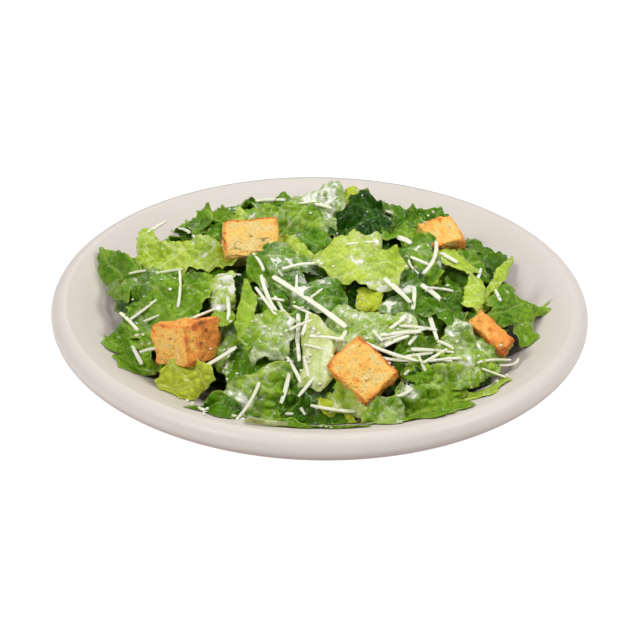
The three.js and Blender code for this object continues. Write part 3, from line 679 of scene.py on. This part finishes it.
def under_leaves():
    """Leaves under those that show, spread evenly by the golden angle, mostly in dark tones as painted shade.
    """
    draw = Draws(4711)
    rows = []
    for place in range(UNDER_LEAVES):
        share = UNDER_REACH * math.sqrt((place + 0.5) / UNDER_LEAVES)
        x, y = heap_place(share, place * GOLDEN_ANGLE)
        if x < UNDER_LEFT and y < UNDER_FRONT:
            continue
        length = UNDER_SIZE * (0.8 + 0.5 * draw())
        width = UNDER_SIZE * (0.6 + 0.4 * draw())
        # mostly dark tones: painted shade of the leaves deep in the heap
        tone = ["deep", "deep", "dark", "mid"][int(4 * draw())]
        lift = -5 + 3 * draw()
        rows.append(("under", tone, x, y, lift, length, width, 360 * draw(), 14 * (draw() - 0.5),
                     14 * (draw() - 0.5), 0, 3, 2, 0.15))
    return rows


def make_leaves():
    """One piece for each group of tones, one for the leaves beneath, and one for the thick dressing."""
    groups = {"romaine_dark": ("deep", "dark"), "romaine_mid": ("mid",), "romaine_bright": ("bright",),
              "romaine_light": ("light", "chip", "yellow"), "romaine_ribs": ("pale",)}
    rows = LEAVES + ring_leaves()
    pieces = []
    sauce = Sheaf()
    for name, tones in groups.items():
        sheaf = Sheaf()
        for index, row in enumerate(rows):
            if row[1] in tones:
                add_leaf(sheaf, sauce, row, index)
        pieces.append(sheaf.mesh(name))
    sheaf = Sheaf()
    for index, row in enumerate(under_leaves()):
        add_leaf(sheaf, sauce, row, 500 + index)
    pieces.append(sheaf.mesh("romaine_under"))
    return pieces, sauce.mesh("dressing_pools")


def make_core():
    """The heart of the heap, coloured dark as painted shade; it shows only as darkness between the leaves."""
    angle = np.linspace(0, 2 * math.pi, CORE_SPOKES, endpoint=False)[None, :]
    hollow = 0
    for middle, depth, spread in CORE_HOLLOWS:
        apart = np.abs((np.degrees(angle) - middle + 180) % 360 - 180)
        hollow += depth * np.exp(-(apart / spread) ** 2)
    part = np.linspace(0.02, 1, CORE_RINGS)[:, None]
    share = part * (CORE_REACH - hollow)
    x = HEAP_X * share * np.cos(angle)
    y = HEAP_CENTRE_Y + HEAP_Y * share * np.sin(angle)
    radius = np.hypot(x, y)
    lump = fractal(x, y, 0, 12, 77)
    bottom = plate_top(radius) + GAP
    rounding = 1 - smoothstep(CORE_SHOULDER, 1.0, part) ** 2
    height = np.maximum(heap_top(x, y) - CORE_SINK - bottom, 0) * rounding
    crumple = 1 - 2 * np.abs(noise(x, y, 0, 9, 78))
    top = bottom + np.maximum(height + 1.6 * lump + 1.5 * crumple, 1)
    upper, lower = (np.stack([x, y, z], axis=2).reshape(-1, 3) for z in (top, bottom))
    quads = ring_quads(CORE_RINGS, CORE_SPOKES)
    below = CORE_RINGS * CORE_SPOKES
    edge = below - CORE_SPOKES + np.arange(CORE_SPOKES)
    edge_after = np.roll(edge, -1)
    wall = np.stack([edge, edge + below, edge_after + below, edge_after], axis=1)
    faces = np.concatenate([quads, below + quads[:, ::-1], wall])
    # painted light and shade: lighter on the tops of the lumps, darker between them
    share_light = np.clip(0.5 + 0.6 * lump, 0, 1).reshape(-1)
    colour = mix(CORE_SHADE_COLOUR, TONES["mid"][0], share_light)
    sheaf = Sheaf()
    sheaf.add(np.concatenate([upper, lower]), faces, np.concatenate([colour, colour]))
    piece = sheaf.mesh("romaine_heart")
    work = bmesh.new()
    work.from_mesh(piece.data)
    bmesh.ops.holes_fill(work, edges=[e for e in work.edges if e.is_boundary], sides=0)
    work.to_mesh(piece.data)
    work.free()
    return piece


def crouton_piece(row, index):
    """A worn block of bread with crumb, toasted faces, pits and herb specks."""
    name, centre, size, turn, tilt, lean, toasting = row
    work = bmesh.new()
    bmesh.ops.create_cube(work, size=2)
    bmesh.ops.subdivide_edges(work, edges=work.edges[:], cuts=CROUTON_CUTS, use_grid_fill=True)
    cube = np.array([v.co[:] for v in work.verts])
    data = bpy.data.meshes.new(name + "_bread")
    work.to_mesh(data)
    work.free()

    px, py, pz = cube.T
    spread = np.linalg.norm(cube, axis=1)
    wear = 1 - 0.18 * np.maximum(0, spread - 1.2) ** 2
    bump = CRUMB_ROUGHNESS * np.sin(5.1 * px + 3.7 * py * pz + centre[0])
    points = cube * np.array(size) / 2 * (wear + bump / size[0])[:, None]
    seed = 900 + 17 * index
    x, y, z = points.T
    outward = unit(points)
    grit = fractal(x, y, z, 2.6, seed)
    pits = smoothstep(0.2, 0.6, fractal(x, y, z, 2.0, seed + 1))
    broad = fractal(x, y, z, 7, seed + 2)
    near_edge = np.sort(np.abs(cube), axis=1)[:, 1]

    level = np.zeros(len(cube))
    for axis in range(3):
        for side, toast in zip((-1, 1), toasting[2 * axis:2 * axis + 2]):
            facing = smoothstep(0.84, 1.0, side * cube[:, axis])
            level = np.maximum(level, facing * toast)
    crumb = 1 - np.minimum(level, 1)
    ragged = fractal(x, y, z, 4.5, seed + 3)
    torn = smoothstep(0.7, 1, near_edge)
    relief = 0.5 * grit + 1.0 * broad - CRUMB_PIT * pits * (0.35 + 0.65 * crumb) + 0.9 * torn * (ragged - 0.3)
    points = points + outward * relief[:, None]

    blotches = fractal(x, y, z, 3.2, seed + 6)
    # toasting, with the pits painted darker as painted shade in the hollows
    toast = np.clip(level + 0.3 * broad + 0.4 * blotches + 0.3 * torn * (0.8 + ragged) + 0.35 * pits, 0, 1.3)
    colour = mix(CRUMB_PALE, CRUMB_COLOUR, smoothstep(-0.1, 0.35, toast + 0.2 * grit))
    colour = mix(colour, TOAST_COLOUR, smoothstep(0.35, 0.85, toast + 0.15 * grit))
    colour = mix(colour, CRUST_COLOUR, smoothstep(0.85, 1.25, toast + 0.15 * grit))
    specks = 0.85 * noise(x * 0.6, y, z, 1.5, seed + 4) + 0.3 * noise(x, y, z, 7, seed + 5)
    colour = mix(colour, HERB_COLOUR, 0.7 * smoothstep(0.64, 0.76, specks))

    turned = Matrix.Identity(3)
    for degrees, axis in ((turn, "Z"), (tilt, "Y"), (lean, "X")):
        turned = turned @ Matrix.Rotation(math.radians(degrees), 3, axis)
    points = points @ np.array(turned).T + np.array(centre)
    data.vertices.foreach_set("co", (points * MM).ravel())
    data.update()
    return shaded_piece(name + "_bread", data, colour)


def ground_of(pieces):
    """A function that gives the highest surface of these pieces at a place."""
    points = []
    faces = []
    for piece in pieces:
        start = len(points)
        points += [v.co.copy() for v in piece.data.vertices]
        faces += [[start + k for k in polygon.vertices] for polygon in piece.data.polygons]
    tree = BVHTree.FromPolygons(points, faces)

    def ground(x, y):
        place = tree.ray_cast(Vector((x * MM, y * MM, 0.2)), Vector((0, 0, -1)))[0]
        plate = float(plate_top(math.hypot(x, y)))
        return plate if place is None else max(plate, place.z / MM)

    return ground


def add_shred(sheaf, ground, seed, start_x, start_y, end_x, end_y, width, bend=0):
    """A straight or slightly bent shred of cheese, six-sided, that rests on the highest place under it."""
    length = math.hypot(end_x - start_x, end_y - start_y)
    steps = max(5, round(length / SHRED_STEP))
    t = np.linspace(0, 1, steps + 1)
    side = np.array([start_y - end_y, end_x - start_x, 0.0]) / length
    path = np.zeros((steps + 1, 3))
    path[:, 0] = start_x + (end_x - start_x) * t
    path[:, 1] = start_y + (end_y - start_y) * t
    path += side * (bend * length * (t * (1 - t) * 4))[:, None]
    below = np.array([ground(x, y) for x, y, _ in path])
    ends = [max(heap_top(x, y) + SHRED_LIFT, plate_top(math.hypot(x, y))) for x, y, _ in (path[0], path[-1])]
    if max(heap_level(start_x, start_y), heap_level(end_x, end_y)) > SHRED_LAST_LEVEL:
        ends = below[0], below[-1]
    path[:, 2] = ends[0] + (ends[1] - ends[0]) * t
    path[:, 2] += max(0, np.max(below - path[:, 2]) - SHRED_BITE)
    path[:, 2] += SHRED_THICKNESS / 2 + SHRED_CLEARANCE
    tangent = unit(np.gradient(path, axis=0))
    sideways = unit(np.cross([0, 0, 1], tangent))
    upward = np.cross(tangent, sideways)
    wobble = 1 + 0.12 * noise(t * length, 0, 0, 4, seed)
    wobble = wobble * np.where((t < 0.02) | (t > 0.98), 0.75, 1)
    twist = 0.5 * noise(t * length, 0, 0, 14, seed + 2)[:, None]
    across = sideways * np.cos(twist) + upward * np.sin(twist)
    upward = upward * np.cos(twist) - sideways * np.sin(twist)
    loops = []
    for a, b in SHRED_SECTION:
        reach = (a * SHRED_SLIMNESS * width / 2 * wobble)[:, None]
        loops.append(path + across * reach + upward * (b * SHRED_THICKNESS / 2))
    points = np.stack(loops, axis=1)
    grain = np.clip(0.5 + 0.5 * noise(points[..., 0], points[..., 1], points[..., 2], 2, seed + 1), 0, 1)
    colour = mix(SHRED_COLOUR, SHRED_SHADE, 0.5 * grain)
    # Each side is a strip of its own, so that the edges stay crisp
    sides = len(SHRED_SECTION)
    faces = grid_quads(2 * np.arange(steps), 2)
    for k in range(sides):
        pair = [k, (k + 1) % sides]
        sheaf.add(points[:, pair].reshape(-1, 3), faces, colour[:, pair].reshape(-1, 3))
    for end in (0, -1):
        faces = np.array([[0, 1, 2, 3], [0, 3, 4, 5]])
        faces = faces if end == 0 else faces[:, ::-1]
        sheaf.add(points[end], faces, colour[end])


def make_shreds(ground):
    sheaf = Sheaf()
    for index, row in enumerate(SHREDS):
        add_shred(sheaf, ground, index, *row)
    return sheaf.mesh("cheese_shreds")


def grain_shape(draw, radius, flat):
    """A small lump: a jittered ball of six sides, as points and faces."""
    points = []
    for ring, (height, wide) in enumerate(((1, 0.35), (0.35, 1), (-0.4, 0.95), (-1, 0.4))):
        for k in range(GRAIN_SIDES):
            angle = 2 * math.pi * (k + 0.5 * ring) / GRAIN_SIDES
            reach = radius * wide * (0.8 + 0.4 * draw())
            points.append((reach * math.cos(angle), reach * math.sin(angle), radius * flat * height))
    faces = []
    for ring in range(3):
        for k in range(GRAIN_SIDES):
            after = (k + 1) % GRAIN_SIDES
            here, below = ring * GRAIN_SIDES, (ring + 1) * GRAIN_SIDES
            faces.append([here + k, below + k, below + after, here + after])
    last = 3 * GRAIN_SIDES
    for k in range(1, GRAIN_SIDES - 1, 2):
        faces.append([0, k, k + 1, (k + 2) % GRAIN_SIDES])
        faces.append([last, last + (k + 2) % GRAIN_SIDES, last + k + 1, last + k])
    return np.array(points), np.array(faces)


def make_crumbs(ground):
    """Crumbs of cheese on the heap among the shreds and on the plate in front of it."""
    sheaf = Sheaf()
    draw = Draws(2711)
    places = []
    for x, y, reach, count in CRUMB_SPOTS:
        for _ in range(count):
            angle = 2 * math.pi * draw()
            away = reach * math.sqrt(draw())
            places.append((x + away * math.cos(angle), y + away * math.sin(angle), 0.35 + 0.55 * draw()))
    for x, y, radius in places:
        points, faces = grain_shape(draw, radius, 0.7)
        points = points + np.array([x, y, ground(x, y) + 0.5 * radius])
        sheaf.add(points, faces, mix(SHRED_COLOUR, SHRED_SHADE, 0.5 * draw()))
    return sheaf.mesh("cheese_crumbs")


def make_drops(leaves):
    """Small drops of dressing on the upper faces of the leaves."""
    sheaf = Sheaf()
    draw = Draws(3137)
    for piece in leaves:
        mesh = piece.data
        for _ in range(round(len(mesh.polygons) * DROP_SHARE)):
            polygon = mesh.polygons[int(draw() * len(mesh.polygons))]
            normal = polygon.normal
            if normal.z < DROP_STEEPEST:
                continue
            radius = DROP_RADIUS * (0.45 + draw() ** 2)
            points, faces = grain_shape(draw, radius, 0.45)
            across = normal.orthogonal().normalized()
            axes = np.array([across, normal.cross(across), normal])
            points = points @ axes + np.array(polygon.center) / MM + 0.15 * radius * np.array(normal)
            sheaf.add(points, faces, linear(SAUCE_COLOUR), 1.0)
    return sheaf.mesh("dressing_drops")


def plate_outline():
    """Radius, height and share of the painted shade under the roll, from near the middle over the rim to the
    foot.
    """
    flank_end = ROLL_R + RIM_ROLL * math.cos(ROLL_START)
    inside = [FLOOR_RADIUS + COVE_RADIUS * math.sin(FLANK_SLOPE * step / 12) for step in range(13)]
    inside += [COVE_END + (flank_end - COVE_END) * step / 12 for step in range(1, 12)]
    points = [(radius, float(plate_top(radius)), 0) for radius in [FLOOR_RADIUS / 2] + inside]
    for step in range(49):
        angle = ROLL_START + (ROLL_END - ROLL_START) * step / 48
        # painted shade and reflection of a dark table, growing down the roll towards the underside
        under = 1 - float(smoothstep(UNDERSIDE_SHADE_TO, UNDERSIDE_SHADE_FROM, angle))
        points.append((ROLL_R + RIM_ROLL * math.cos(angle), ROLL_Z + RIM_ROLL * math.sin(angle), under))
    for radius in (112.5, 110.5, 108, 104, 98, 92, 86, 80, 76, 72, 69, 67, 65.5):
        points.append((radius, float(plate_top(radius)) - WALL / math.cos(FLANK_SLOPE), 1))
    foot_in = FOOT_RADIUS - FOOT_WIDTH
    points += [(FOOT_RADIUS + 1.2, 1.4, 1), (FOOT_RADIUS + 0.6, 0.4, 1), (FOOT_RADIUS - 0.4, 0, 1)]
    points += [(foot_in + 0.4, 0, 1), (foot_in - 0.6, 0.4, 1), (foot_in - 1.4, FOOT_HEIGHT - 1, 1)]
    points.append((foot_in - 3, FOOT_HEIGHT, 1))
    return points


def make_plate():
    outline = plate_outline()
    angle = np.linspace(0, 2 * math.pi, PLATE_SEGMENTS, endpoint=False)
    radius, z, under = (np.array(k)[:, None] for k in zip(*outline))
    rings = len(outline)
    flat = np.zeros((1, PLATE_SEGMENTS))
    points = np.stack([radius * np.cos(angle), radius * np.sin(angle), z + flat], axis=2).reshape(-1, 3)
    points = np.concatenate([points, [[0, 0, FLOOR_Z], [0, 0, FOOT_HEIGHT]]])
    faces = ring_quads(rings, PLATE_SEGMENTS)
    last = (rings - 1) * PLATE_SEGMENTS
    middle = rings * PLATE_SEGMENTS
    caps = []
    for k in range(0, PLATE_SEGMENTS, 2):
        caps.append([middle, k, k + 1, (k + 2) % PLATE_SEGMENTS])
        caps.append([middle + 1, last + (k + 2) % PLATE_SEGMENTS, last + k + 1, last + k])
    share = np.concatenate([(under + flat).ravel(), [0, 1]])
    # painted shade and reflection of a dark table on the underside of the plate
    colour = mix(GLAZE_COLOUR, UNDERSIDE_SHADE_COLOUR, share)
    # painted shade: a thin dark line along the shoulder of the rim at the back, following the rim's
    # silhouette
    height = points[:, 2] - ROLL_Z
    outward = np.hypot(points[:, 0], points[:, 1]) - ROLL_R
    roll = np.arctan2(height, outward)
    behind = np.clip(points[:, 1] / PLATE_RADIUS, 0, 1)
    shoulder = np.arctan(EDGE_SHADE_SLOPE * behind) + EDGE_SHADE_START
    line = np.exp(-((roll - shoulder) / EDGE_SHADE_WIDTH) ** 4) * (outward > 0) * (height > 0)
    colour = mix(colour, EDGE_SHADE_COLOUR, EDGE_SHADE_STRENGTH * line * smoothstep(0, 0.4, behind))
    sheaf = Sheaf()
    sheaf.add(points, np.concatenate([faces, np.array(caps)]), colour, share)
    return sheaf.mesh("glazed_plate")


# Materials


class Nodes:
    """A material's node tree with one Principled shader."""

    def __init__(self, name, **values):
        self.material = bpy.data.materials.new(name)
        self.material.use_nodes = True
        self.tree = self.material.node_tree
        self.link = self.tree.links.new
        self.shader = self.tree.nodes["Principled BSDF"]
        for socket, value in values.items():
            self.shader.inputs[socket.replace("_", " ")].default_value = value

    def node(self, kind, **settings):
        node = self.tree.nodes.new(kind)
        for key, value in settings.items():
            if key in node.inputs:
                node.inputs[key].default_value = value
            else:
                setattr(node, key, value)
        return node

    def noise(self, scale, detail=3, distortion=0):
        texture = self.node("ShaderNodeTexNoise", Scale=scale, Detail=detail, Distortion=distortion)
        self.link(self.node("ShaderNodeTexCoord").outputs["Object"], texture.inputs["Vector"])
        return texture.outputs["Fac"]

    def ramp(self, source, *stops):
        ramp = self.node("ShaderNodeValToRGB")
        elements = ramp.color_ramp.elements
        while len(elements) < len(stops):
            elements.new(0.5)
        for element, (place, colour) in zip(elements, stops):
            element.position = place
            element.color = (*colour, 1)
        self.link(source, ramp.inputs["Fac"])
        return ramp.outputs["Color"]

    def mixed(self, kind, share, first, second):
        node = self.node("ShaderNodeMix", data_type="RGBA", blend_type=kind)
        for value, place in ((share, 0), (first, 6), (second, 7)):
            if isinstance(value, bpy.types.NodeSocket):
                self.link(value, node.inputs[place])
            else:
                node.inputs[place].default_value = value
        return node.outputs[2]

    def attribute(self, name):
        return self.node("ShaderNodeAttribute", attribute_name=name)

    def shade(self, *mottles):
        """The colour at each vertex, multiplied by these."""
        colour = self.attribute("shade").outputs["Color"]
        for mottle in mottles:
            colour = self.mixed("MULTIPLY", 1.0, colour, mottle)
        return colour

    def base(self, colour):
        self.link(colour, self.shader.inputs["Base Color"])

    def bump(self, source, strength, distance):
        node = self.node("ShaderNodeBump", Strength=strength, Distance=distance * MM)
        self.link(source, node.inputs["Height"])
        self.link(node.outputs["Normal"], self.shader.inputs["Normal"])


def romaine_material():
    build = Nodes("romaine", Roughness=0.25, Subsurface_Weight=0.2, Subsurface_Scale=1.5 * MM,
                  Subsurface_Radius=(0.8, 1.0, 0.15), Specular_IOR_Level=0.1, Coat_Weight=0.22,
                  Coat_Roughness=0.06)
    mottle = build.ramp(build.noise(900), (0.3, (0.86, 0.86, 0.86)), (0.7, (1.1, 1.1, 1.05)))
    streaks = build.ramp(build.noise(750, 5, 1.2), (0.5, (0, 0, 0)), (0.64, (1, 1, 1)))
    film = build.node("ShaderNodeMath", operation="MULTIPLY")
    build.link(build.attribute("wet").outputs["Fac"], film.inputs[0])
    build.link(streaks, film.inputs[1])
    build.base(build.mixed("MIX", film.outputs[0], build.shade(mottle), (*linear(DRESSING_COLOUR), 1)))
    build.bump(build.noise(520, 5), 0.8, 0.9)
    return build.material


def bread_material():
    build = Nodes("toasted_bread", Roughness=0.75, Subsurface_Weight=0.12, Subsurface_Scale=1.2 * MM,
                  Subsurface_Radius=(1.0, 0.5, 0.2))
    grit = build.noise(1100, 5)
    mottle = build.ramp(grit, (0.32, (0.84, 0.72, 0.56)), (0.5, (1, 1, 1)), (0.72, (1.16, 1.16, 1.16)))
    build.base(build.shade(mottle))
    build.bump(grit, 1.0, 0.9)
    return build.material


def cheese_material():
    build = Nodes("hard_cheese", Roughness=0.45, Subsurface_Weight=0.35, Subsurface_Scale=1.5 * MM,
                  Subsurface_Radius=(1.0, 0.9, 0.6))
    mottle = build.ramp(build.noise(1200), (0.3, (0.93, 0.93, 0.9)), (0.7, (1.05, 1.05, 1.05)))
    build.base(build.shade(mottle))
    build.bump(build.noise(1500, 4), 0.3, 0.2)
    return build.material


def glaze_material():
    build = Nodes("ivory_glaze", Roughness=0.5, Coat_Weight=0.15, Coat_Roughness=0.3, Specular_IOR_Level=0.3)
    cloud = build.ramp(build.noise(30, 4), (0.35, (0.98, 0.98, 0.975)), (0.65, (1, 1, 1)))
    speck = build.ramp(build.noise(1600, 1), (0.2, (0.9, 0.88, 0.86)), (0.28, (1, 1, 1)))
    build.base(build.shade(cloud, speck))
    return build.material


def sauce_material():
    build = Nodes("caesar_dressing", Roughness=0.25, Subsurface_Weight=0.3, Subsurface_Scale=1.5 * MM,
                  Subsurface_Radius=(1.0, 0.95, 0.8), Coat_Weight=0.3, Coat_Roughness=0.1)
    build.base(build.shade())
    build.bump(build.noise(900, 3), 0.3, 0.25)
    return build.material


def dress(piece, material, slot, *nodes):
    """Give a piece its finish, attach it to the root body, and hide the CAD nodes it stands for."""
    piece.data.materials.clear()
    piece.data.materials.append(material)
    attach(piece, "root")
    if nodes:
        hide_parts(*nodes)


# Studio


def add_camera():
    back = Vector((0, -math.cos(CAMERA_ELEVATION), math.sin(CAMERA_ELEVATION)))
    right = Vector((1, 0, 0))
    up = back.cross(right)
    rolled_right = math.cos(CAMERA_ROLL) * right + math.sin(CAMERA_ROLL) * up
    rolled_up = math.cos(CAMERA_ROLL) * up - math.sin(CAMERA_ROLL) * right
    place = (Vector(CAMERA_LOOK) + back * CAMERA_DISTANCE) * MM
    data = bpy.data.cameras.new("camera")
    data.lens = CAMERA_LENS
    data.sensor_width = SENSOR_WIDTH
    camera = show("camera", data)
    turning = Matrix((rolled_right, rolled_up, back)).transposed()
    camera.matrix_world = Matrix.Translation(place) @ turning.to_4x4()
    bpy.context.scene.camera = camera


def add_studio():
    data = bpy.data.meshes.new("floor")
    corners = [(x * STUDIO_SIDE, y * STUDIO_SIDE, 0) for x, y in ((-1, -1), (1, -1), (1, 1), (-1, 1))]
    data.from_pydata(corners, [], [(0, 1, 2, 3)])
    paper = Nodes("pale_floor", Roughness=0.9, Base_Color=(0.1, 0.1, 0.1, 1), Emission_Color=(1, 1, 1, 1),
                  Emission_Strength=1.0)
    data.materials.append(paper.material)
    show("floor", data)
    world = bpy.data.worlds.new("studio")
    bpy.context.scene.world = world
    world.use_nodes = True
    background = world.node_tree.nodes["Background"]
    background.inputs["Color"].default_value = (1, 0.995, 0.985, 1)
    background.inputs["Strength"].default_value = 0.25
    for name, place, size, power in LIGHTS:
        data = bpy.data.lights.new(name, "AREA")
        data.shape = "DISK"
        data.size = size
        data.energy = power
        light = show(name, data)
        light.location = place
        light.rotation_euler = (Vector(place) - Vector(LIGHT_TARGET)).to_track_quat("Z", "Y").to_euler()
    bpy.context.scene.view_settings.view_transform = "Standard"


# The whole model

add_camera()
add_studio()

romaine = romaine_material()
leaf_pieces, pools = make_leaves()
core = make_core()
for piece in leaf_pieces + [core]:
    dress(piece, romaine, "romaine", "salad")

bread = bread_material()
bread_pieces = []
for index, row in enumerate(CROUTONS):
    piece = crouton_piece(row, index)
    dress(piece, bread, "crouton", row[0])
    bread_pieces.append(piece)

sauce = sauce_material()
dress(pools, sauce, "dressing", "salad")
dress(make_drops(leaf_pieces), sauce, "dressing", "salad")

ground = ground_of(leaf_pieces + [core] + bread_pieces)
cheese = cheese_material()
dress(make_shreds(ground), cheese, "cheese", "salad")
dress(make_crumbs(ground), cheese, "cheese", "salad")
dress(make_plate(), glaze_material(), "plate", "plate")
